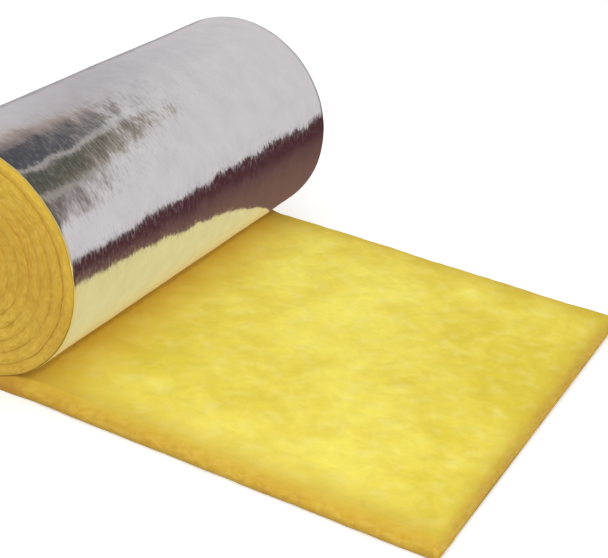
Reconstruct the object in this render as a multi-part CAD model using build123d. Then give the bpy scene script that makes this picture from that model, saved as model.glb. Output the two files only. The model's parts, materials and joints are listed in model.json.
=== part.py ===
# A roll of foil-faced glass wool blanket, part unrolled, in millimetres.
#
# The blanket is wound about an axis along Y and lies on the floor, z = 0. Its free tail runs
# out along +X with the wool upwards and the foil on the floor. From the tail the foil goes
# back along the floor, up the back of the roll, over the top, down the front and in on top
# of the tail. The origin is on the floor at mid-width, where the tail leaves the roll.

from build123d import *
import os

# Driving dimensions of the blanket
blanket_width = 1200.0
free_thickness = 50.0
turn_pitch = 29.0
foil_thickness = 0.5
tail_length = 1190.0

# Driving dimensions of the roll
turns = 9
eye_radius = 40.0
settle = 4.0

# Driving dimensions of the soft edges: the foil stops short of the wool's edge by the depth
edge_depth = 8.0
edge_half_width = 6.0
soft_radius = 16.0

# A cutter starts this far outside the face that it cuts
overcut = 1.0

# The roll's outline is a spiral of quarter arcs. Their centres go round a small square, and
# each arc is a quarter of the pitch smaller than the one before, so they meet in line.
QUARTERS_A_TURN = 4
CENTRE_PLACES = ((0, 0), (-1, 0), (-1, 1), (0, 1))
step = turn_pitch / QUARTERS_A_TURN
outer_radius = eye_radius + turns * turn_pitch
first_centre_z = outer_radius - settle
eye_x = -step / 2
eye_z = first_centre_z + step / 2
foil_width = blanket_width - 2 * edge_depth


def arc_centre(quarter):
    """The centre of one quarter arc, counted from the tail's take-off."""
    across, up = CENTRE_PLACES[quarter % QUARTERS_A_TURN]
    return across * step, first_centre_z + up * step


def spiral_arcs(first, last, inset):
    """Quarter arcs from one quarter to another, a little inside the foil's outer face."""
    arcs = []
    for quarter in range(first, last):
        radius = outer_radius - quarter * step - inset
        arcs.append(CenterArc(arc_centre(quarter), radius, -90 - 90 * quarter, -90))
    return arcs


def rectangle(x_low, x_high, z_low, z_high):
    """A rectangle in the plane of the section."""
    middle = ((x_low + x_high) / 2, (z_low + z_high) / 2)
    return Pos(*middle) * Rectangle(x_high - x_low, z_high - z_low)


def roll_section(inset):
    """The outer turn's outline, settled on the floor and closed above the take-off."""
    arcs = spiral_arcs(0, QUARTERS_A_TURN, inset)
    outline = make_face(arcs + [Line(arcs[-1] @ 1, arcs[0] @ 0)])
    reach = 2 * outer_radius + turn_pitch
    return outline & rectangle(-reach, reach, inset, reach)


def across_width(section, width):
    """A solid of one section, spread evenly to both sides of mid-width."""
    return extrude(Plane.XZ * section, amount=width / 2, both=True)


def turn_groove():
    """The groove between the turns on the near end, cut where the wool's edges bulge apart.

    It starts on the outline, where it bevels the outer rim, follows the tuck of the outer
    turn under the roll, and winds in to the turn that forms the eye.
    """
    end_y = -blanket_width / 2
    last_quarter = QUARTERS_A_TURN * (turns - 1)
    arcs = spiral_arcs(0, last_quarter, foil_thickness)
    path = Wire([Plane.XZ.offset(-end_y) * arc for arc in arcs])

    start_z = (path @ 0).Z
    mouth = edge_half_width * (edge_depth + overcut) / edge_depth
    root = (0, end_y + edge_depth, start_z)
    upper_lip = (0, end_y - overcut, start_z + mouth)
    lower_lip = (0, end_y - overcut, start_z - mouth)
    profile = make_face(Polyline(root, upper_lip, lower_lip, close=True))
    return sweep(profile, path=path)


def free_tail():
    """The unrolled wool, with soft corners and soft top edges."""
    height = free_thickness - foil_thickness
    align = (Align.MIN, Align.CENTER, Align.MIN)
    tail = Pos(0, 0, foil_thickness) * Box(tail_length, blanket_width, height, align=align)
    free_edges = tail.edges().filter_by(lambda edge: edge.center().X > overcut)
    soft_edges = free_edges.filter_by(lambda edge: edge.center().Z > foil_thickness + overcut)
    return fillet(soft_edges, soft_radius)


def glass_wool_blanket():
    """The wound wool with its eye, and the tail that is one piece with it."""
    section = roll_section(foil_thickness) - Pos(eye_x, eye_z) * Circle(eye_radius)
    wool = across_width(section, blanket_width) + free_tail()
    underside = wool.faces().sort_by(Axis.Z)[0]
    low_edges = underside.edges().filter_by(lambda edge: edge.center().X > overcut)
    wool = chamfer(low_edges, edge_depth, edge_half_width, reference=underside)
    near_groove = turn_groove()
    wool -= near_groove
    wool -= mirror(near_groove, about=Plane.XZ)
    return wool


def foil_facing():
    """The foil round the roll and under the tail, bonded to the wool."""
    wrap = roll_section(0) - roll_section(foil_thickness)
    wrap -= rectangle(0, tail_length, 0, free_thickness)
    under = rectangle(0, tail_length - edge_depth, 0, foil_thickness)
    return across_width(wrap, foil_width) + across_width(under, foil_width)


os.makedirs("parts", exist_ok=True)
pieces = {
    "glass_wool_blanket": glass_wool_blanket(),
    "aluminium_foil_facing": foil_facing(),
}
for name, piece in pieces.items():
    export_step(piece, "parts/" + name + ".step")
    print(name, round(piece.volume / 1e9, 5), "cubic metres")
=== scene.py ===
# %% [markdown]
# # A roll of foil-faced glass wool, part unrolled
# The real thing is one long blanket of yellow glass wool with aluminium foil glued to one
# face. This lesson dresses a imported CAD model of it. The CAD solids fix every size and place,
# and the two soft skins that show are built around them: the wool as one wound strip, and the
# foil as one wrinkled sheet.

# %% The frame
import json
import math

import bmesh
import bpy
from mathutils import Matrix, Vector, noise


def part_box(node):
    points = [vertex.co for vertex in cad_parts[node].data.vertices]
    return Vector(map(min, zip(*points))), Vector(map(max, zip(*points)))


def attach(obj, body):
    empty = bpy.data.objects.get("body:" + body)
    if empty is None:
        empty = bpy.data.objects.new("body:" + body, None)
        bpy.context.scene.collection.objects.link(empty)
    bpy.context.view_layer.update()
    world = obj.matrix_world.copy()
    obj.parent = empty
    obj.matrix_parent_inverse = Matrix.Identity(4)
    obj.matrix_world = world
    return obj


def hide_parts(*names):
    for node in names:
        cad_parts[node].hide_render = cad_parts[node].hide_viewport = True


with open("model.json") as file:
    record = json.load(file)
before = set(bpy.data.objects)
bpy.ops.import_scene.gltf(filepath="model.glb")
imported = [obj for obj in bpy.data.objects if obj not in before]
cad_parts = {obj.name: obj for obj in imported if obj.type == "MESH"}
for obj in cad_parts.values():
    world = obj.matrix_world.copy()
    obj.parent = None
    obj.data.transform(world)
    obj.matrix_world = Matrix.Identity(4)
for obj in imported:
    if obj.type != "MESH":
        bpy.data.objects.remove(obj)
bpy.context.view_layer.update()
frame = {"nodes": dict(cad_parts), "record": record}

# %% [markdown]
# ## Sizes
# Nothing is measured twice. The width, the foil's set-back and the end of the tail are read
# from the CAD pieces' boxes. The eye's place gives the pitch of the turns, because the CAD
# outline is a spiral of quarter arcs whose four centres stand in a square round the eye's own
# centre. The square's side is a quarter of the pitch, and one of its sides is at x = 0.

# %% Sizes read from the frame
MM = 0.001
wool_low, wool_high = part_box("glass_wool_blanket")
foil_low, foil_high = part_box("aluminium_foil_facing")
eye = next(mount for mount in frame["record"]["mounts"] if mount["name"] == "eye")
eye_radius = eye["dims"]["r_mm"] * MM
eye_x, _, eye_z = eye["pos_m"]

QUARTERS = 4
step = -2 * eye_x
turn_pitch = QUARTERS * step
first_centre_z = eye_z - step / 2
outer_radius = foil_high.z - first_centre_z + step
turns = round((outer_radius - eye_radius) / turn_pitch)

half_width = wool_high.y
foil_half_width = foil_high.y
set_back = half_width - foil_half_width
foil_thickness = wool_low.z - foil_low.z
tail_end = wool_high.x
tip_start = tail_end - 5 * set_back
free_top = max(v.co.z for v in frame["nodes"]["glass_wool_blanket"].data.vertices
               if v.co.x > tip_start)
print(turns, "turns of", round(turn_pitch / MM, 2), "mm, radius", round(outer_radius / MM, 1),
      "mm, free thickness", round(free_top / MM, 1), "mm")

# %% [markdown]
# ## The wound path
# A blanket that is rolled up follows a spiral. Each quarter arc here has its own centre, and
# both faces of the blanket are drawn from the same centre, one pitch apart. That keeps the
# turns in even contact with no gap between them, as on a tight roll. Places on the spiral are
# counted in quarters of a turn from the take-off, which is where the tail leaves the roll.

# %% The spiral
CENTRE_PLACES = ((0, 0), (-1, 0), (-1, 1), (0, 1))
ROUNDING = 1e-9
front_radius = outer_radius - (QUARTERS - 1) * step
front_centre_z = first_centre_z + step


def on_spiral(quarter, inwards):
    """The point of the section at a place along the spiral, and so far in from the outline."""
    whole = math.floor(quarter + ROUNDING)
    across, up = CENTRE_PLACES[whole % QUARTERS]
    angle = -math.pi / 2 * (1 + quarter)
    radius = outer_radius - whole * step - inwards
    x = across * step + radius * math.cos(angle)
    z = first_centre_z + up * step + radius * math.sin(angle)
    return Vector((x, z))


def roll_underside(x):
    """The height of the roll's front quarter above the floor."""
    if x >= front_radius:
        return front_centre_z
    return front_centre_z - math.sqrt(front_radius ** 2 - x * x)


nip_x = math.sqrt(front_radius ** 2 - (front_centre_z - free_top) ** 2)
print("the foil meets the tail", round(nip_x / MM), "mm from the take-off")

# %% [markdown]
# ## The wool as one strip
# The blanket is swept as the factory made it: one closed section, carried from the free end
# of the tail, under the roll and round every turn to the eye. A solid with painted rings would
# be quicker, but only a real strip gives each turn its own soft edge.
#
# Across the thickness the cut edge bulges, and is drawn in at both faces. The free tail has
# sprung back, so its upper edge is rounder than that of a turn, which is held between others.
# The turns bulge most at the bottom, where the roll's own weight squeezes them.

# %% Shape of the cut edge
EDGE_POINTS = 14
edge_power = 1.35
wound_fullest = 0.5
free_fullest = 0.34
wound_draw = (2.6 * MM, 1.0 * MM)
outer_draw = (set_back, 5 * MM)
free_draw = (set_back, 20 * MM)


def blend(low, high, share):
    """The value at a share of the way between two, held inside them."""
    return low + (high - low) * min(1, max(0, share))


def edge_depth(share, draw, fullest):
    """How far the edge is drawn in, at a share of the thickness up from the foil."""
    if share < fullest:
        depth, away = draw[0], (fullest - share) / fullest
    else:
        depth, away = draw[1], (share - fullest) / (1 - fullest)
    return depth * (1 - (1 - away ** edge_power) ** (1 / edge_power))


def edge_shares(depth, draw, fullest):
    """The two shares of the thickness, below and above, that are drawn in by one depth."""
    away = [(1 - max(0, 1 - depth / limit) ** edge_power) ** (1 / edge_power) for limit in draw]
    return fullest * (1 - away[0]), fullest + (1 - fullest) * away[1]


print("the free edge is drawn in by", round(edge_depth(1, free_draw, free_fullest) / MM),
      "mm at its top")

# %% [markdown]
# Stations along the strip hold the two ends of the section's thickness. The tail's stations
# are upright, and its top follows the roll's underside until it has its full thickness. The
# floor stops the lowest part of the first turn.

# %% Stations along the strip
tail_spacing = 8 * MM
wound_spacing = 9 * MM
fewest_stations = 10
end_rows = 9
end_draw = (9 * MM, 22 * MM)
under_foil = 1.2 * MM
between_turns = 0.3 * MM
floor_z = foil_thickness


def tail_stations():
    """From the free end to the take-off, closer together where the end is rounded."""
    turned = [math.pi / 2 * i / end_rows for i in range(1, end_rows + 1)]
    places = [tail_end - end_draw[1] * (1 - math.cos(angle)) for angle in turned]
    rest = places[-1]
    count = round(rest / tail_spacing)
    return places + [rest * (1 - i / count) for i in range(1, count + 1)]


def wound_stations():
    """Quarters of a turn, from the take-off to the inner end of the blanket."""
    places = []
    for whole in range(QUARTERS * turns):
        length = math.pi / 2 * (outer_radius - whole * step)
        count = max(fewest_stations, round(length / wound_spacing))
        places += [whole + i / count for i in range(1, count + 1)]
    return places


def depth_of_eye(quarter):
    """How far in from the outline the wall of the eye lies, along the arc's own radius."""
    outline = on_spiral(quarter, 0)
    inwards = (on_spiral(quarter, outer_radius / 2) - outline).normalized()
    to_eye = Vector((eye_x, eye_z)) - outline
    along = to_eye.dot(inwards)
    aside = to_eye.length_squared - along * along
    return along - math.sqrt(max(eye_radius ** 2 - aside, 0))


tail_places = tail_stations()
wound_places = wound_stations()
print(len(tail_places), "stations on the tail and", len(wound_places), "round the turns")

# %% [markdown]
# Glass wool is never flat. Perlin noise, read at the real place of each point, moves the
# surface by a few millimetres at several sizes of lump. The turns are uneven in the same way:
# one field of noise moves both faces that meet between them, so that they stay in contact.
# The same noise gives the same lumps on every run.

# %% Lumps
top_lumps = ((260 * MM, 2.4 * MM), (85 * MM, 1.4 * MM), (26 * MM, 0.8 * MM))
edge_lumps = ((300 * MM, 3.0 * MM), (90 * MM, 2.0 * MM), (30 * MM, 1.2 * MM), (13 * MM, 0.7 * MM))
turn_lumps = ((110 * MM, 5.0 * MM), (35 * MM, 2.0 * MM))


def lump(place, sizes):
    """The sum of some noises, each with its own wavelength and height."""
    return sum(height * noise.noise(place / wavelength) for wavelength, height in sizes)


def uneven(point, side):
    """A point of the roll's section, moved towards the eye or away from it."""
    from_eye = point - Vector((eye_x, eye_z))
    reach = from_eye.length
    inside = min(outer_radius - turn_pitch - reach, reach - eye_radius) / turn_pitch
    amount = blend(0, 1, inside) * lump(Vector((point.x, side, point.y)), turn_lumps)
    return point + from_eye / reach * amount


middle_lump = lump(Vector((tail_end / 2, 0, 0)), top_lumps)
print("the middle of the tail is moved by", round(middle_lump / MM, 2), "mm")

# %% [markdown]
# Each point also carries marks for the material: whether it lies on a cut edge, how far the
# edge's ochre has spread to it, whether it lies low in the gap between two turns or at the
# tail's foot, how near it lies to where the roll meets the tail, and how much resin the binder
# sprays left there. The gap mark carries painted shade between the turns and darkens the tail's
# foot, and the nearness to the roll carries painted light and shadow. Resin drifts slowly along
# the blanket, over half a metre or so.

# %% Marks and cut edges
MARKS = ("cut_edge", "ochre", "gap", "pressed", "resin")
edge_fade, edge_falloff = 26 * MM, 1.5
ochre_fade, ochre_falloff = 235 * MM, 4
nip_fade = 330 * MM
resin_drift = 550 * MM
resin_slice = 5.68
resin_middle = -0.24


def edge_row(side, low, high, shares, draw, fullest, shrink, along):
    """The points of one cut edge, from the foil up, with their share of the thickness."""
    row = []
    for i in range(EDGE_POINTS + 1):
        share = blend(*shares, 0.5 - 0.5 * math.cos(math.pi * i / EDGE_POINTS))
        flat = low + (high - low) * share
        y = side * (half_width - shrink - edge_depth(share, draw, fullest))
        y += side * lump(Vector((flat.x, y, flat.y + along)), edge_lumps)
        row.append((Vector((flat.x, y, flat.y)), share))
    return row


def resin_at(x, y):
    """How much more resin than usual a place of the tail has."""
    return noise.noise(Vector((x / resin_drift, y / resin_drift, resin_slice))) - resin_middle


print("extra resin at the tail's middle:", round(resin_at(tail_end / 2, 0), 2))

# %% [markdown]
# A row of the tail runs up its near edge, over its top and down its far edge. Where the roll
# lets go of the wool, it springs back to its free edge within a few centimetres. The end of
# the tail was cut too, so it is rounded like the sides, and its corners are soft.

# %% Rows of the tail
top_count = 144
corner_radius = 16 * MM
spring_back = 60 * MM
end_waver = 60 * MM
foot_share = 0.5


def tail_row(x):
    """One closed section of the tail: near edge, top, far edge."""
    opened = blend(0, 1, (x - nip_x) / spring_back)
    from_end = tail_end - x
    shares = edge_shares(from_end, end_draw, free_fullest) if from_end < end_draw[1] else (0, 1)
    draw = [blend(wound_draw[0], free, opened) for free in free_draw]
    fullest = blend(wound_fullest, free_fullest, opened)
    inside = max(0, 1 - from_end / corner_radius)
    shrink = corner_radius * (1 - math.sqrt(1 - inside ** 2))
    low = Vector((x, floor_z))
    high = Vector((x, min(free_top, roll_underside(max(x, 0)) - under_foil)))
    near = edge_row(-1, low, high, shares, draw, fullest, shrink, 0)
    far = edge_row(1, low, high, shares, draw, fullest, shrink, 0)

    start, stop = near[-1], far[-1]
    row = list(near)
    for i in range(1, top_count):
        row.append((start[0].lerp(stop[0], i / top_count), shares[1]))
    row += reversed(far)

    marked = []
    for point, share in row:
        inwards = min(from_end, half_width - shrink - abs(point.y))
        cut = blend(1, 0, inwards / edge_fade) ** edge_falloff
        spread = min(2 * from_end, half_width - shrink - abs(point.y)) / ochre_fade
        ochre = blend(1, 0, spread) ** ochre_falloff
        foot = blend(1, 0, share / foot_share)
        # Nearness to where the roll meets the tail, which carries painted light and shadow there.
        pressed = blend(1, 0, (x - nip_x) / nip_fade)
        lumps = lump(Vector((point.x, point.y, 0)), top_lumps) * opened * share ** 2
        waver = lump(Vector((0, point.y, 5)), edge_lumps) * blend(1, 0, from_end / end_waver)
        place = Vector((point.x + waver, point.y, point.z + lumps))
        marked.append((place, (cut, ochre, foot, pressed, resin_at(point.x, point.y)), share))
    return marked


print("a row of the tail has", len(tail_row(tail_end / 2)), "points")

# %% [markdown]
# A row of a turn has only its two cut edges. The outer turn has the foil round it and a rounder
# edge, and its rim is painted lighter, a painted highlight where the rounded rim catches the
# light. From the front of the roll on, where it tucks in on top of the tail, it is held between
# other turns and its edge is flatter. The inner face is read just before the row's place, so
# that a joint of two arcs counts to the arc before it.

# %% Rows of the turns
held_quarter, held_length = 3.0, 0.8
tucked_quarter, tucked_length = 3.9, 0.3
# A painted highlight: the outer turn's rim takes less of the cut edge's ochre.
rim_cut, rim_share = 0.45, 0.5
# Painted shade in the gaps between the turns, strongest low on the roll.
gap_at_top, gap_power = 0.3, 1.2
JUST_BEFORE = 1e-6


def wound_row(quarter):
    """One closed section of a turn: near edge and far edge, joined by long straight faces."""
    tucked = (quarter - tucked_quarter) / tucked_length
    outside = blend(foil_thickness + under_foil, between_turns, tucked)
    inside = turn_pitch
    if quarter > QUARTERS * (turns - 1):
        inside = min(turn_pitch, depth_of_eye(quarter))
    low = on_spiral(quarter, outside)
    low.y = max(low.y, floor_z)
    high = on_spiral(quarter - JUST_BEFORE, inside)
    held = blend(0, 1, (quarter - held_quarter) / held_length)
    squeezed = blend(1, 0, low.y / (2 * first_centre_z))
    draw = [blend(free, blend(*wound_draw[::-1], squeezed), held) for free in outer_draw]
    near, far = (edge_row(side, uneven(low, side), uneven(high, side), (0, 1), draw,
                          wound_fullest, 0, quarter) for side in (-1, 1))
    marked = []
    for point, share in near + far[::-1]:
        rim = blend(rim_cut, 1, share / rim_share)
        gap = blend(gap_at_top, 1, squeezed) * abs(2 * share - 1) ** gap_power
        marks = (blend(rim, 1, held), 1, held * gap, 0, 0)
        marked.append((point, marks, share))
    return marked


print("a row of a turn has", len(wound_row(QUARTERS)), "points")

# %% [markdown]
# The sections are joined into one closed skin. The tail's rows have many points across the
# width and the turns' rows have none there, because no one sees a face inside the roll. The
# tail's end gets a foot that stands on the foil, and the inner end is closed by one face.

# %% Faces of the blanket
def joined(rows, starts):
    """The faces between each row and the next."""
    faces = []
    edge = EDGE_POINTS + 1
    for i in range(len(rows) - 1):
        a, b = starts[i], starts[i + 1]
        count, after = len(rows[i]), len(rows[i + 1])
        if count == after:
            for j in range(1 if i == 0 else 0, count):
                k = j % count
                faces.append((a + k - 1, a + k, b + k, b + k - 1) if k else
                             (a + count - 1, a, b, b + count - 1))
            continue
        for j in range(edge - 1):
            faces.append((a + j, a + j + 1, b + j + 1, b + j))
            p, q = a + count - edge + j, b + after - edge + j
            faces.append((p, p + 1, q + 1, q))
        faces.append(tuple(range(a + edge - 1, a + count - edge + 1)) + (b + edge, b + edge - 1))
        faces.append((a + count - 1, a, b, b + after - 1))
    return faces


def closed_ends(rows, starts, feet):
    """The faces that close the tail's end down to its feet, and the inner end of the strip."""
    edge = EDGE_POINTS + 1
    count = len(rows[0])
    top = range(edge, count - edge)
    faces = [(top[j], top[j + 1], feet[j + 1], feet[j]) for j in range(len(feet) - 1)]
    faces.append(tuple(range(edge)) + (top[0], feet[0]))
    faces.append((feet[-1], top[-1]) + tuple(range(count - edge, count)))
    faces.append((0, starts[1], starts[1] + count - 1, count - 1) + tuple(reversed(feet)))
    faces.append(tuple(range(starts[-1], starts[-1] + len(rows[-1]))))
    return faces


def finish_mesh(mesh):
    """Turns all faces outwards, smooths them, and puts the mesh in the scene."""
    work = bmesh.new()
    work.from_mesh(mesh)
    bmesh.ops.recalc_face_normals(work, faces=work.faces)
    loose = sum(1 for edge in work.edges if len(edge.link_faces) != 2)
    triangles = sum(len(face.verts) - 2 for face in work.faces)
    work.to_mesh(mesh)
    work.free()
    mesh.shade_smooth()
    piece = bpy.data.objects.new(mesh.name, mesh)
    bpy.context.scene.collection.objects.link(piece)
    print(mesh.name, "has", triangles, "triangles and", loose, "edges with one side open")
    return piece


# %% [markdown]
# The strip is also mapped as it would lie flat: how far along it a point is, and how high in
# the thickness. The cut edge's layers are drawn in that map, so they follow every turn. The
# place across the strip is added to the place along it, so that its two edges differ.

# %% The blanket's mesh
def build_blanket():
    """The closed skin of the wool, with its marks and its flat map."""
    rows = [tail_row(x) for x in tail_places] + [wound_row(q) for q in wound_places]
    spacings = [tail_spacing] * len(tail_places) + [wound_spacing] * len(wound_places)
    points, marks, laid, starts = [], [], [], []
    travelled = 0
    for row, spacing in zip(rows, spacings):
        starts.append(len(points))
        travelled += spacing
        for place, mark, share in row:
            points.append(place)
            marks.append(mark)
            laid.append((travelled + place.y, share * free_top))

    foot = len(points)
    for j in range(EDGE_POINTS + 1, len(rows[0]) - EDGE_POINTS - 1):
        points.append(Vector((points[j].x, points[j].y, points[0].z)))
        marks.append(marks[j])
        laid.append(laid[0])
    faces = joined(rows, starts) + closed_ends(rows, starts, list(range(foot, len(points))))

    mesh = bpy.data.meshes.new("wool_blanket")
    mesh.from_pydata(points, [], faces)
    for i, name in enumerate(MARKS):
        layer = mesh.attributes.new(name, "FLOAT", "POINT")
        layer.data.foreach_set("value", [mark[i] for mark in marks])
    uv = mesh.uv_layers.new(name="laid")
    for loop in mesh.loops:
        uv.data[loop.index].uv = laid[loop.vertex_index]
    return finish_mesh(mesh)


blanket = build_blanket()

# %% [markdown]
# ## The foil as one sheet
# The facing is thin laminate, glued on under tension as the blanket is wound. It is built as
# a grid over its true flat size, bent along the same spiral, with a slow waviness. A narrow
# strip at each border is pressed down with the wool's rim, and its edge wavers a little, as a
# knife leaves it. Solidify gives the sheet its thickness.

# %% The foil's path
foil_spacing = 9 * MM
under_spacing = 30 * MM
tuck = 0.06
free_height = 30 * MM


def foil_line():
    """The foil's run in the section, from the nip over the roll and out under the tail."""
    run = []
    nip_quarter = QUARTERS - math.asin(nip_x / front_radius) / (math.pi / 2)
    start = nip_quarter + tuck
    count = round(math.pi / 2 * start * outer_radius / foil_spacing)
    for i in range(count + 1):
        quarter = start * (1 - i / count)
        point = on_spiral(quarter, 0)
        outwards = (point - on_spiral(quarter, outer_radius / 2)).normalized()
        free = blend(0, 1, point.y / free_height)
        run.append((Vector((point.x, max(point.y, 0))), outwards, free))
    length = tail_end - set_back
    count = round(length / under_spacing)
    for i in range(1, count + 1):
        run.append((Vector((length * i / count, 0)), Vector((0, -1)), 0))
    return run


print("the foil's path has", len(foil_line()), "stations")

# %% The foil's grid
foil_across = 148
border = 5 * MM
border_drop = 0.8 * MM
rim_only = 9
foil_waves = ((180 * MM, 1.2 * MM), (60 * MM, 0.6 * MM), (22 * MM, 0.25 * MM))
edge_waver = ((90 * MM, 1.6 * MM), (25 * MM, 0.8 * MM))


def build_foil():
    """A grid of foil points, with its flat size in metres as its map."""
    points, faces, flat = [], [], []
    travelled, before = 0, None
    for point, outwards, free in foil_line():
        if before is not None:
            travelled += (point - before).length
        before = point
        for j in range(foil_across + 1):
            part = blend(-1, 1, (j - 1) / (foil_across - 2))
            edge = j in (0, foil_across)
            y = part * (foil_half_width - (0 if edge else border))
            y += lump(Vector((travelled, part, 7)), edge_waver) * part ** rim_only
            rise = lump(Vector((travelled, y, 3)), foil_waves) - (border_drop if edge else 0)
            spot = point + outwards * free * rise
            points.append((spot.x, y, spot.y))
            flat.append((travelled, y))
    width = foil_across + 1
    for a in range(0, len(points) - width, width):
        faces += [(a + j, a + width + j, a + width + j + 1, a + j + 1) for j in range(foil_across)]
    mesh = bpy.data.meshes.new("foil_facing")
    mesh.from_pydata(points, [], faces)
    uv = mesh.uv_layers.new(name="flat")
    for loop in mesh.loops:
        uv.data[loop.index].uv = flat[loop.vertex_index]
    mesh.shade_smooth()
    piece = bpy.data.objects.new("foil_facing", mesh)
    bpy.context.scene.collection.objects.link(piece)
    thick = piece.modifiers.new("thickness", "SOLIDIFY")
    thick.thickness = foil_thickness
    thick.offset = -1
    print("foil:", len(faces), "faces,", round(travelled, 2), "m long")
    return piece


foil = build_foil()

# %% [markdown]
# ## Helpers for materials
# Colours are picked as sRGB hex values, because that is how a photo shows them, and one
# function turns them linear for the shader. One more adds a node with its settings and links,
# and a colour ramp's stops are settings like the rest. Most finishes here are thin washes of
# colour, one over another, each laid where some mark or noise is high.

# %% Colour and node helpers
def linear(code):
    """An sRGB hex colour as the linear colour that the shader takes."""
    values = [int(code[i:i + 2], 16) / 255 for i in (1, 3, 5)]
    values = [v / 12.92 if v <= 0.04045 else ((v + 0.055) / 1.055) ** 2.4 for v in values]
    return (*values, 1.0)


def add(tree, kind, settings=None, links=None):
    """A node of one kind.

    Settings go to its sockets by name or number, or to the node itself. Stops, each a place
    and a hex colour, go to its colour ramp.
    """
    node = tree.nodes.new(kind)
    for key, value in (settings or {}).items():
        if key == "stops":
            elements = node.color_ramp.elements
            while len(elements) < len(value):
                elements.new(0.5)
            for element, (place, code) in zip(elements, value):
                element.position = place
                element.color = linear(code)
        elif isinstance(key, str) and hasattr(node, key) and key not in node.inputs:
            setattr(node, key, value)
        else:
            node.inputs[key].default_value = value
    for key, source in (links or {}).items():
        tree.links.new(source, node.inputs[key])
    return node


def new_material(name):
    """An empty node material with its output."""
    material = bpy.data.materials.new(name)
    material.use_nodes = True
    material.node_tree.nodes.clear()
    return material, material.node_tree, material.node_tree.nodes.new("ShaderNodeOutputMaterial")


def washed(tree, colour, *washes):
    """A colour under some washes. Each has a source, and the finish it lays down.

    A finish is the range of the source over which it sets in, its full share and its tint.
    """
    for source, (low, high, most, code) in washes:
        share = add(tree, "ShaderNodeMapRange", {1: low, 2: high, 3: 0.0, 4: most}, {0: source})
        colour = add(tree, "ShaderNodeMix", {"data_type": "RGBA", 7: linear(code)},
                     {0: share.outputs[0], 6: colour}).outputs[2]
    return colour


print("half grey as the shader takes it:", [round(v, 3) for v in linear("#808080")[:3]])

# %% [markdown]
# ## Glass wool
# Glass wool is spun glass, bound with a yellow resin. The fibres are thinner than a hair and
# lie in clouds, so it has no gloss at all: light goes in a little and comes out soft. Real
# hair on the whole blanket would be far too heavy, so noises of several sizes stand in for
# it: clouds as long as a hand, and tufts and thin places four centimetres wide. Fibres,
# layers and pits are really finer than a pixel or two. So fibres are drawn as bundles, three
# centimetres long and a few millimetres apart, the layers of a cut edge one centimetre
# thick, and its pits two centimetres wide.

# %% Patterns in the wool
cloud = 170 * MM
tuft = 42 * MM
fleck = 45 * MM
pit = 22 * MM
fibre_bundle = (30 * MM, 3.5 * MM)
fibre_swirl = 60 * MM
edge_layer = (21.6 * MM, 12 * MM)


def wool_patterns(tree):
    """The wool's marks and noises, by name."""
    place = add(tree, "ShaderNodeTexCoord").outputs["Object"]
    laid = add(tree, "ShaderNodeUVMap", {"uv_map": "laid"}).outputs["UV"]
    found = {name: add(tree, "ShaderNodeAttribute", {"attribute_name": name}).outputs["Fac"]
             for name in MARKS}

    spots = {}
    for name, size, detail, distortion in (("clouds", cloud, 4.0, 0.5), ("tufts", tuft, 3.0, 0.6),
                                           ("flecks", fleck, 1.5, 0.2), ("pits", pit, 1.0, 0.4)):
        spots[name] = add(tree, "ShaderNodeTexNoise", {"Scale": 1 / size, "Detail": detail,
                                                       "Distortion": distortion},
                          {"Vector": place})
        found[name] = spots[name].outputs["Fac"]

    swirl = add(tree, "ShaderNodeVectorMath", {"operation": "MULTIPLY", 1: (fibre_swirl,) * 3},
                {0: spots["clouds"].outputs["Color"]})
    swirled = add(tree, "ShaderNodeVectorMath", {"operation": "ADD"},
                  {0: place, 1: swirl.outputs[0]})
    length, gap = fibre_bundle
    drawn = add(tree, "ShaderNodeVectorMath",
                {"operation": "MULTIPLY", 1: (1 / length, 1 / gap, 1 / gap)},
                {0: swirled.outputs[0]})
    fibres = add(tree, "ShaderNodeTexNoise", {"Scale": 1.0, "Detail": 3.0, "Distortion": 0.8},
                 {"Vector": drawn.outputs[0]})
    layered = add(tree, "ShaderNodeVectorMath",
                  {"operation": "MULTIPLY", 1: (1 / edge_layer[0], 1 / edge_layer[1], 1.0)},
                  {0: laid})
    layers = add(tree, "ShaderNodeTexNoise", {"Scale": 1.0, "Detail": 2.0, "Distortion": 0.6},
                 {"Vector": layered.outputs[0]})
    found.update(fibres=fibres.outputs["Fac"], layers=layers.outputs["Fac"])
    return found


print("wool patterns from", fibre_bundle[1] / MM, "to", round(cloud / MM), "mm wide")

# %% [markdown]
# The open face is lemon to a deeper yellow, as the clouds and the resin's drift have it. Tufts
# and bundles of fibre shade it by a few hundredths, and thin places look paler. Near where the
# roll meets it, the wool is painted lighter and more orange, as light bounced off the foil
# would make it, and a thin ragged brown line is painted there as the roll's contact shadow.
# Towards the cut edges it turns ochre.

# %% Colour of the open face
usual_noise = (0.3, 0.7)
yellow_to_lemon = tuple(zip(usual_noise, ("#DDC83F", "#EFE060")))
resin_pull = -0.45
tuft_shade = 0.05
fibre_shade = 0.02
ragged_by = 0.08
thin_places = (0.50, 0.78, 0.28, "#F2E99A")
# Painted light: the wool near the roll is lighter and warmer, as light bounced off the foil.
painted_nip_light = (0.35, 0.9, 0.6, "#F7BD3A")
# Painted shadow: a thin ragged brown line where the roll touches the tail.
painted_nip_shadow = (0.90, 0.935, 0.32, "#8A5220")
near_cut = (0.0, 1.0, 0.85, "#BE982F")


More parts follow.
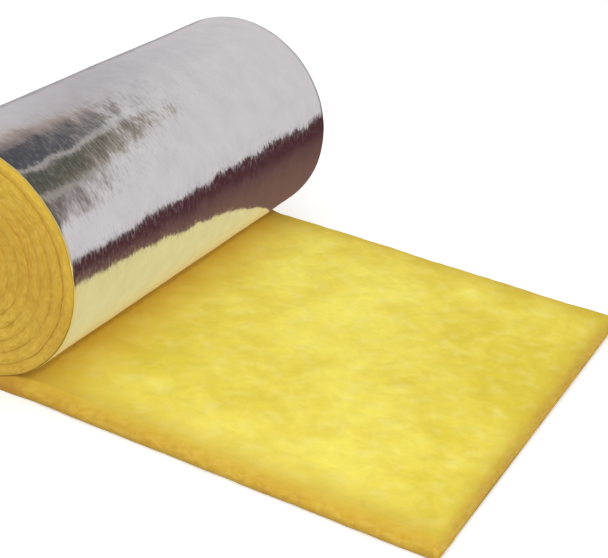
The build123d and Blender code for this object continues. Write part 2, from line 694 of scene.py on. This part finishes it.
def face_colour(tree, found):
    """The colour of the wool's open face."""
    drifted = add(tree, "ShaderNodeMath", {"operation": "MULTIPLY_ADD", 1: resin_pull},
                  {0: found["resin"], 2: found["clouds"]})
    yellow = add(tree, "ShaderNodeValToRGB", {"stops": yellow_to_lemon},
                 {"Fac": drifted.outputs[0]})
    tufted, streaked = (add(tree, "ShaderNodeMapRange",
                            {1: usual_noise[0], 2: usual_noise[1],
                             3: 1 - shade, 4: 1 + shade}, {0: found[name]})
                        for name, shade in (("tufts", tuft_shade), ("fibres", fibre_shade)))
    shaded = add(tree, "ShaderNodeMath", {"operation": "MULTIPLY"},
                 {0: tufted.outputs[0], 1: streaked.outputs[0]})
    matted = add(tree, "ShaderNodeVectorMath", {"operation": "SCALE"},
                 {0: yellow.outputs["Color"], "Scale": shaded.outputs[0]})
    ragged = add(tree, "ShaderNodeMath", {"operation": "MULTIPLY_ADD", 1: ragged_by},
                 {0: found["tufts"], 2: found["pressed"]})
    return washed(tree, matted.outputs[0],
                  (found["flecks"], thin_places), (found["pressed"], painted_nip_light),
                  (ragged.outputs[0], painted_nip_shadow), (found["ochre"], near_cut))


print("the open face runs from", yellow_to_lemon[0][1], "to", yellow_to_lemon[1][1])

# %% [markdown]
# A cut edge is denser and shows more resin, so it is ochre, in thin uneven layers. It is
# painted browner as shade in the gaps between the turns, and it is darker towards the tail's
# foot. Where the tail runs under the roll, the edge is painted brown as the roll's shadow. It is
# browner in the small pits that a knife tears into it.

# %% Colour of a cut edge
ochre_layers = tuple(zip(usual_noise, ("#CBA032", "#D9B54C")))
cloud_share = 0.3
# Painted shade in the gaps between turns, and darker towards the tail's foot.
gap_shade_and_foot = (0.0, 1.0, 0.22, "#A87820")
# Painted shadow on the cut edge where the tail runs under the roll.
painted_roll_shadow = (0.85, 1.0, 0.5, "#B5762C")
in_pits = (0.52, 0.72, 0.2, "#A06C1C")


def edge_colour(tree, found):
    """The colour of a cut edge."""
    ochre = add(tree, "ShaderNodeValToRGB", {"stops": ochre_layers}, {"Fac": found["layers"]})
    blotched = add(tree, "ShaderNodeMix",
                   {"data_type": "RGBA", "blend_type": "OVERLAY", 0: cloud_share},
                   {6: ochre.outputs["Color"], 7: found["clouds"]})
    return washed(tree, blotched.outputs[2], (found["gap"], gap_shade_and_foot),
                  (found["pressed"], painted_roll_shadow), (found["pits"], in_pits))


print("a cut edge runs from", ochre_layers[0][1], "to", ochre_layers[1][1])

# %% [markdown]
# The wool itself is dull glass, so it is fully rough, with hardly any mirror and a trace of
# sheen from the fibres' ends. The tufts stand out by millimetres, and bump is enough for that.

# %% Relief and shader of the wool
tuft_relief = {"Strength": 0.45, "Distance": 4 * MM}
fibre_relief = {"Strength": 0.3, "Distance": 1.5 * MM}


def glass_wool():
    """The wool's material, with the relief of its tufts and fibres."""
    material, tree, output = new_material("glass_wool")
    found = wool_patterns(tree)
    colour = add(tree, "ShaderNodeMix", {"data_type": "RGBA"},
                 {0: found["cut_edge"], 6: face_colour(tree, found), 7: edge_colour(tree, found)})
    heights = add(tree, "ShaderNodeMix", {"data_type": "FLOAT"},
                  {0: found["cut_edge"], 2: found["fibres"], 3: found["clouds"]})
    soft = add(tree, "ShaderNodeBump", tuft_relief, {"Height": found["tufts"]})
    fine = add(tree, "ShaderNodeBump", fibre_relief,
               {"Height": heights.outputs[0], "Normal": soft.outputs["Normal"]})
    shader = add(tree, "ShaderNodeBsdfPrincipled",
                 {"Roughness": 1.0, "Specular IOR Level": 0.08, "Sheen Weight": 0.05,
                  "Sheen Roughness": 0.6},
                 {"Base Color": colour.outputs[2], "Normal": fine.outputs["Normal"]})
    tree.links.new(shader.outputs["BSDF"], output.inputs["Surface"])
    print(material.name, "has", len(tree.nodes), "nodes")
    return material


blanket.data.materials.append(glass_wool())

# %% [markdown]
# ## Aluminium foil laminate
# Bright rolled foil on a scrim. It is a true metal, and fairly sharp in its reflections.
# Winding crimps it into fine wrinkles that run round the roll, six millimetres apart and two
# centimetres long, on folds of two or three times that size and a slow sway of the sheet.
# They can't be seen by themselves, but they fray the edge of everything that is reflected.
# Bump would tilt such long narrow wrinkles almost only along the roll, so the normal is
# tilted directly, in both directions. Each noise is read at a place of its own.
# The near border was cut and kept flatter, so it is the calmest part.

# %% Wrinkles of the foil
crimp = (18 * MM, 6 * MM)
fold = (60 * MM, 14 * MM)
sway = (200 * MM, 90 * MM)
round_tilts = ((crimp, 0.11), (fold, 0.04), (sway, 0.12))
along_tilts = ((crimp, 0.08), (fold, 0.03))
next_noise, along_noise = 5, 40
calm_border, calm_share = (-600 * MM, -150 * MM), 0.45


def tilt(tree, flat, way, sizes, shift):
    """The normal's move in one direction, from wrinkles of several lengths and gaps."""
    total = None
    for (length, gap), amount in sizes:
        shift += next_noise
        stretched = add(tree, "ShaderNodeMapping",
                        {"Scale": (1 / length, 1 / gap, 1.0), "Location": (shift, shift, 0)},
                        {"Vector": flat})
        folds = add(tree, "ShaderNodeTexNoise", {"Scale": 1.0, "Detail": 1.5},
                    {"Vector": stretched.outputs[0]})
        part = add(tree, "ShaderNodeMath",
                   {"operation": "MULTIPLY_ADD", 1: amount, 2: -amount / 2},
                   {0: folds.outputs["Fac"]})
        if total is not None:
            part = add(tree, "ShaderNodeMath", {"operation": "ADD"},
                       {0: total, 1: part.outputs[0]})
        total = part.outputs[0]
    return add(tree, "ShaderNodeVectorMath", {"operation": "SCALE"},
               {0: way, "Scale": total}).outputs[0]


def wrinkled_normal(tree, flat, across):
    """The foil's normal, tilted round the roll and along it, and less at the near border."""
    face = add(tree, "ShaderNodeNewGeometry").outputs["Normal"]
    axis = add(tree, "ShaderNodeCombineXYZ", {"Y": 1.0}).outputs[0]
    round_way = add(tree, "ShaderNodeVectorMath", {"operation": "CROSS_PRODUCT"},
                    {0: axis, 1: face}).outputs[0]
    moved = add(tree, "ShaderNodeVectorMath", {"operation": "ADD"},
                {0: tilt(tree, flat, round_way, round_tilts, 0),
                 1: tilt(tree, flat, axis, along_tilts, along_noise)})
    calm = add(tree, "ShaderNodeMapRange",
               {1: calm_border[0], 2: calm_border[1], 3: calm_share, 4: 1.0}, {0: across})
    calmed = add(tree, "ShaderNodeVectorMath", {"operation": "SCALE"},
                 {0: moved.outputs[0], "Scale": calm.outputs[0]})
    tilted = add(tree, "ShaderNodeVectorMath", {"operation": "ADD"},
                 {0: face, 1: calmed.outputs[0]})
    return add(tree, "ShaderNodeVectorMath", {"operation": "NORMALIZE"},
               {0: tilted.outputs[0]}).outputs[0]


print("wrinkles from", crimp[1] / MM, "to", round(sway[0] / MM), "mm")

# %% [markdown]
# The crests of the wrinkles have rubbed against other turns and are duller, which draws them
# as fine strokes in a dark reflection. Loose fibres lap over the near border and tint its last
# centimetre, and the far border is creased and duller.

# %% Foil material
smooth_roughness, crest_roughness = 0.11, 0.22
crest_heights, crest_noise = (0.50, 0.62), 90
foil_greys = tuple(zip(usual_noise, ("#EAE8EA", "#F3F1F2")))
tone_patch = 60 * MM
fibres_lap = (11 * MM - foil_half_width, -foil_half_width, 1.0, "#EEDC90")
far_creases = (foil_half_width - 14 * MM, foil_half_width, 1.0, "#BDBABD")


def aluminium_foil():
    """The foil's material, with wrinkles, dull crests and its two borders."""
    material, tree, output = new_material("aluminium_foil_laminate")
    flat = add(tree, "ShaderNodeUVMap", {"uv_map": "flat"}).outputs["UV"]
    across = add(tree, "ShaderNodeSeparateXYZ", {}, {0: flat}).outputs[1]

    drawn = add(tree, "ShaderNodeMapping",
                {"Scale": (1 / crimp[0], 1 / crimp[1], 1.0),
                 "Location": (crest_noise, crest_noise, 0)},
                {"Vector": flat})
    crests = add(tree, "ShaderNodeTexNoise", {"Scale": 1.0, "Detail": 2.0},
                 {"Vector": drawn.outputs[0]})
    dull = add(tree, "ShaderNodeMapRange",
               {1: crest_heights[0], 2: crest_heights[1],
                3: smooth_roughness, 4: crest_roughness},
               {0: crests.outputs["Fac"]})

    tone = add(tree, "ShaderNodeTexNoise", {"Scale": 1 / tone_patch, "Detail": 4.0},
               {"Vector": flat})
    bright = add(tree, "ShaderNodeValToRGB", {"stops": foil_greys}, {"Fac": tone.outputs["Fac"]})
    colour = washed(tree, bright.outputs["Color"], (across, fibres_lap), (across, far_creases))
    shader = add(tree, "ShaderNodeBsdfPrincipled", {"Metallic": 1.0},
                 {"Base Color": colour, "Roughness": dull.outputs[0],
                  "Normal": wrinkled_normal(tree, flat, across)})
    tree.links.new(shader.outputs["BSDF"], output.inputs["Surface"])
    print(material.name, "has", len(tree.nodes), "nodes")
    return material


foil.data.materials.append(aluminium_foil())

# %% [markdown]
# ## Riding on the frame
# Both skins stand for their CAD solids and move with the one body.

# %% Bodies
for piece, node, slot in ((blanket, "glass_wool_blanket", "glass_wool"),
                          (foil, "aluminium_foil_facing", "aluminium_foil")):
    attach(piece, "root")
    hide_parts(node)
    print(piece.name, "stands for", node)

# %% [markdown]
# ## Floor
# A white floor that stays white to its edge, and still takes the object's shadow. Its own
# glow is seen by the camera and by mirrors, and lights nothing.

# %% Floor
floor_reach = 15.0
floor_glow = 0.38


def quad(name, corners, material):
    """A flat staged panel."""
    mesh = bpy.data.meshes.new(name)
    mesh.from_pydata(corners, [], [tuple(range(len(corners)))])
    mesh.materials.append(material)
    panel = bpy.data.objects.new(name, mesh)
    bpy.context.scene.collection.objects.link(panel)
    return panel


def seen_directly(tree):
    """One for what the camera sees, also in mirrors, nought for the light's own bounces."""
    path = add(tree, "ShaderNodeLightPath")
    seen = add(tree, "ShaderNodeMath", {"operation": "MAXIMUM"},
               {0: path.outputs["Is Camera Ray"], 1: path.outputs["Is Glossy Ray"]})
    return add(tree, "ShaderNodeMath", {"operation": "MAXIMUM"},
               {0: seen.outputs[0], 1: path.outputs["Is Transmission Ray"]}).outputs[0]


def white_floor():
    """A matt floor with a glow of its own."""
    material, tree, output = new_material("white_floor")
    matt = add(tree, "ShaderNodeBsdfDiffuse", {"Color": linear("#DADADA")})
    level = add(tree, "ShaderNodeMath", {"operation": "MULTIPLY", 1: floor_glow},
                {0: seen_directly(tree)})
    glow = add(tree, "ShaderNodeEmission", {}, {"Strength": level.outputs[0]})
    both = add(tree, "ShaderNodeAddShader", {}, {0: matt.outputs[0], 1: glow.outputs[0]})
    tree.links.new(both.outputs[0], output.inputs["Surface"])
    return material


quad("floor", [(-floor_reach, -floor_reach, 0), (floor_reach, -floor_reach, 0),
               (floor_reach, floor_reach, 0), (-floor_reach, floor_reach, 0)], white_floor())
print("the floor is", 2 * floor_reach, "m across")

# %% [markdown]
# ## Light tent
# A metal shows only what stands around it, so a photographer builds the room for it. Here a
# pale lilac-grey tent gives the foil its body colour, a little greyer on one side. The tent
# and its cards glow, and are seen by reflections alone. Each is painted in one colour, or in
# several that follow each other. The foil's wrinkles break streaks in the paint up into fine
# strokes.

# %% Paint for the tent and cards
streaks_a_metre = 14.0
streak_clouds = (0.4, 0.65)


def only_reflected(panel):
    """Takes a panel out of every ray but those of mirrors."""
    panel.visible_camera = False
    panel.visible_diffuse = False
    panel.visible_transmission = False
    panel.visible_volume_scatter = False
    panel.visible_shadow = False


def painted(name, start, stop, *stops, streaks=0.0):
    """A glowing paint whose colours follow each other between two places of the plan.

    With one stop it is that colour all over. Streaks are lighter clouds in it.
    """
    material, tree, output = new_material(name)
    glow = add(tree, "ShaderNodeEmission", {"Color": linear(stops[0][1]), "Strength": 1.0})
    tree.links.new(glow.outputs[0], output.inputs["Surface"])
    if len(stops) == 1:
        return material
    place = add(tree, "ShaderNodeTexCoord").outputs["Object"]
    start, stop = Vector((*start, 0)), Vector((*stop, 0))
    way = (stop - start) / (stop - start).length_squared
    offset = add(tree, "ShaderNodeVectorMath", {"operation": "SUBTRACT", 1: start}, {0: place})
    along = add(tree, "ShaderNodeVectorMath", {"operation": "DOT_PRODUCT", 1: way},
                {0: offset.outputs[0]})
    ramp = add(tree, "ShaderNodeValToRGB", {"stops": stops}, {"Fac": along.outputs["Value"]})
    tree.links.new(ramp.outputs["Color"], glow.inputs["Color"])
    if streaks:
        clouds = add(tree, "ShaderNodeTexNoise", {"Scale": streaks_a_metre, "Detail": 2.0},
                     {"Vector": place})
        light = add(tree, "ShaderNodeMapRange",
                    {1: streak_clouds[0], 2: streak_clouds[1], 3: 1.0, 4: 1.0 + streaks},
                    {0: clouds.outputs["Fac"]})
        tree.links.new(light.outputs[0], glow.inputs["Strength"])
    return material


def card(name, height, corners, material):
    """A level panel with its corners given in plan, seen by reflections alone."""
    only_reflected(quad(name, [(x, y, height) for x, y in corners], material))
    print(name, "is", round(height, 3), "m above the floor")


print("streaks in the paint are", round(1 / streaks_a_metre, 3), "m wide")

# %% The tent
tent_radius = 5.0
tent_colour = "#D6D2D3"
below_floor = -0.01

work = bmesh.new()
bmesh.ops.create_uvsphere(work, u_segments=48, v_segments=24, radius=tent_radius)
bmesh.ops.bisect_plane(work, geom=work.verts[:] + work.edges[:] + work.faces[:],
                       plane_co=(0, 0, below_floor), plane_no=(0, 0, -1), clear_outer=True)
mesh = bpy.data.meshes.new("tent")
work.to_mesh(mesh)
work.free()
mesh.materials.append(painted("tent", (0, -5), (2.35, 4.41), (0.0, tent_colour),
                              (0.70, tent_colour), (0.79, "#BBB6B9"), (0.835, "#CCC8CA"),
                              (0.87, tent_colour)))
tent = bpy.data.objects.new("tent", mesh)
bpy.context.scene.collection.objects.link(tent)
only_reflected(tent)
print("the tent is", 2 * tent_radius, "m across")

# %% [markdown]
# ## Low cards
# Three cards lie just above the height of the tail. A cream card by the roll brightens the
# yellow that the tail throws into the foil, and a plainer one beside it lights the foil's
# rim. Beyond them a brown card darkens to maroon towards the tent's foot. A grey card lies
# behind the roll and draws its outline against the white floor. It fades in, so that it has
# no edge when the back of the roll is looked at.

# %% Corners and paint of the low cards
low_card_z = free_top + 6 * MM
back_card_z = 10 * MM
cream_border = [(0.72, 0.02), (0.62, 0.22), (0.46, 0.36), (0.3, 0.46), (0.135, 0.56)]

card("cream_card", low_card_z, [(0.135, -1.0), (1.2, -1.0)] + cream_border,
     painted("cream_card", (0.135, 0), (1.135, 0), (0.0, "#CFAA58"), (0.04, "#DBBF76"),
             (0.09, "#E4D38D"), (0.16, "#E6DA9A")))
card("rim_card", low_card_z,
     [(0.05, -2.0), (1.3, -2.0), (1.2, -1.0), (0.135, -1.0), (0.05, -0.65)],
     painted("rim_card", (0, 0), (1, 0), (0.0, "#D8D0B4")))
card("brown_card", low_card_z,
     cream_border[::-1] + [(1.2, -1.0), (5.0, -1.0), (5.0, 5.0), (-0.3, 5.0)],
     painted("brown_card", (0, 0), (3.17, 1.17), (0.0, "#84644F"), (0.16, "#795B50"),
             (0.27, "#654946"), (0.35, "#513035"), (0.80, "#48292C"), (0.95, tent_colour)))
card("back_card", back_card_z,
     [(-0.8, 0.1), (-0.45, 0.1), (-0.45, 1.7), (-1.0, 3.0), (-2.3, 4.4), (-3.6, 3.4), (-1.4, 0.9)],
     painted("back_card", (-0.45, 0), (-1.05, 0), (0.0, "#FFFFFF"), (1.0, "#A5A2A7")))

# %% [markdown]
# ## Panels overhead
# Dark panels hang overhead in a grey haze, with narrow gaps between them. They put the dark
# patch into the foil near the roll's open end, and the paler lines that run through it.

# %% Overhead panels
panel_z = 2.0
above_panels = 0.02

card("haze_panel", panel_z,
     [(-1.9, -0.6), (-0.6, -0.6), (-0.6, 1.37), (-0.38, 1.42), (-0.28, 1.5), (-0.06, 1.5),
      (0.0, 1.62), (-0.6, 1.66), (-1.2, 1.66), (-1.9, 1.9)],
     painted("haze_panel", (-1.9, 1.3), (-1.5, 0.7), (0.0, "#B6B0AC"), (0.54, "#988D83"),
             (0.83, "#857C79"), (1.0, "#766E6C"), streaks=0.5))
card("dark_panel", panel_z,
     [(-0.6, -0.6), (0.25, -0.6), (0.19, 1.01), (0.16, 1.17), (0.11, 1.31), (0.06, 1.46),
      (-0.06, 1.5), (-0.28, 1.5), (-0.38, 1.42), (-0.6, 1.37)],
     painted("dark_panel", (0, 1.1), (0, 1.5), (0.0, "#414247"), (0.4, "#4F4F52"),
             (0.7, "#65615C"), (1.0, "#87817A"), streaks=1.2))
card("olive_panel", panel_z,
     [(0.50, -0.6), (1.0, -0.6), (0.99, 1.26), (1.09, 1.38), (1.07, 1.56), (1.1, 1.69),
      (0.98, 1.74), (0.84, 1.8), (0.62, 1.8), (0.40, 1.73), (0.26, 1.68), (0.22, 1.55),
      (0.24, 1.44), (0.27, 1.32), (0.30, 1.18), (0.34, 1.04)],
     painted("olive_panel", (0, 1.1), (0, 1.8), (0.0, "#464740"), (0.3, "#4F4D42"),
             (0.6, "#625C50"), (1.0, "#867E71"), streaks=1.2))
card("grey_panel", panel_z, [(1.28, -0.6), (3.9, -0.6), (3.9, 3.75), (1.35, 1.9)],
     painted("grey_panel", (2.0, 1.86), (1.76, 2.19), (0.0, "#625B55"), (0.3, "#716964"),
             (0.8, "#B2ACAB"), (1.0, tent_colour), streaks=0.6))
card("gap_panel", panel_z + above_panels,
     [(0.1, -0.6), (1.5, -0.6), (1.45, 1.75), (1.15, 1.82), (0.2, 1.66), (0.0, 1.5)],
     painted("gap_panel", (0, 0), (1.2, 0), (0.0, "#AFABA7"), (1.0, "#9C9890")))

# %% [markdown]
# ## Light
# A plain bright room: a white world all round, a broad sun above that lights the whole floor
# evenly, and one low soft lamp in front of the tail, which reaches in under the roll.

# %% World and lamps
room_light = 0.58
sun_light = 1.4
sun_spread = 70
sun_from = (0.35, -0.35, 1.2)
low_power, low_size = 7, 1.2
low_place, low_target = (1.2, -1.9, 1.1), (0.4, 0.0, 0.1)

world = bpy.data.worlds.new("studio")
world.use_nodes = True
bpy.context.scene.world = world
tree = world.node_tree
tree.nodes.clear()
room = add(tree, "ShaderNodeBackground", {"Color": (1, 1, 1, 1), "Strength": room_light})
backdrop = add(tree, "ShaderNodeBackground", {"Color": (1, 1, 1, 1), "Strength": 1.0})
mixed = add(tree, "ShaderNodeMixShader", {}, {0: seen_directly(tree), 1: room.outputs[0],
                                              2: backdrop.outputs[0]})
add(tree, "ShaderNodeOutputWorld", {}, {"Surface": mixed.outputs[0]})


def lamp(name, kind, power):
    """A light that shows in no reflection, and the object that carries it."""
    light = bpy.data.lights.new(name, kind)
    light.energy = power
    carrier = bpy.data.objects.new(name, light)
    carrier.visible_glossy = False
    bpy.context.scene.collection.objects.link(carrier)
    print(name, "gives", power, "W/m2" if kind == "SUN" else "W")
    return light, carrier


sun, sky_lamp = lamp("broad_sun", "SUN", sun_light)
sun.angle = math.radians(sun_spread)
sky_lamp.rotation_euler = Vector(sun_from).to_track_quat("Z", "Y").to_euler()

softbox, low_lamp = lamp("low_softbox", "AREA", low_power)
softbox.shape = "SQUARE"
softbox.size = low_size
low_lamp.location = low_place
aim = Vector(low_target) - Vector(low_place)
low_lamp.rotation_euler = aim.to_track_quat("-Z", "Y").to_euler()

# %% [markdown]
# ## Camera
# The place, the turn and the lens were fitted to the edges of the tail and the outline of the
# roll in the photo. The camera is tipped a few degrees, as the photo's own lines ask.

# %% Camera
camera_place = (1.9099, -2.9160, 1.8480)
camera_azimuth = math.radians(25.10)
camera_down = math.radians(27.18)
camera_roll = math.radians(-6.20)
focal_pixels = 1473.6
frame_pixels = 608
sensor_mm = 36.0

ahead = Vector((-math.sin(camera_azimuth) * math.cos(camera_down),
                math.cos(camera_azimuth) * math.cos(camera_down), -math.sin(camera_down)))
level = Vector((math.cos(camera_azimuth), math.sin(camera_azimuth), 0))
down = ahead.cross(level)
right = level * math.cos(camera_roll) + down * math.sin(camera_roll)
upright = level * math.sin(camera_roll) - down * math.cos(camera_roll)

lens = bpy.data.cameras.new("camera")
lens.sensor_width = sensor_mm
lens.lens = focal_pixels / frame_pixels * sensor_mm
camera = bpy.data.objects.new("camera", lens)
turn = Matrix((right, upright, -ahead)).transposed().to_4x4()
camera.matrix_world = Matrix.Translation(camera_place) @ turn
bpy.context.scene.collection.objects.link(camera)
bpy.context.scene.camera = camera
print("lens", round(lens.lens, 1), "mm")

# %% [markdown]
# ## Last setting
# The picture keeps the colours as they were written.

# %% Finish
bpy.context.scene.view_settings.view_transform = "Standard"
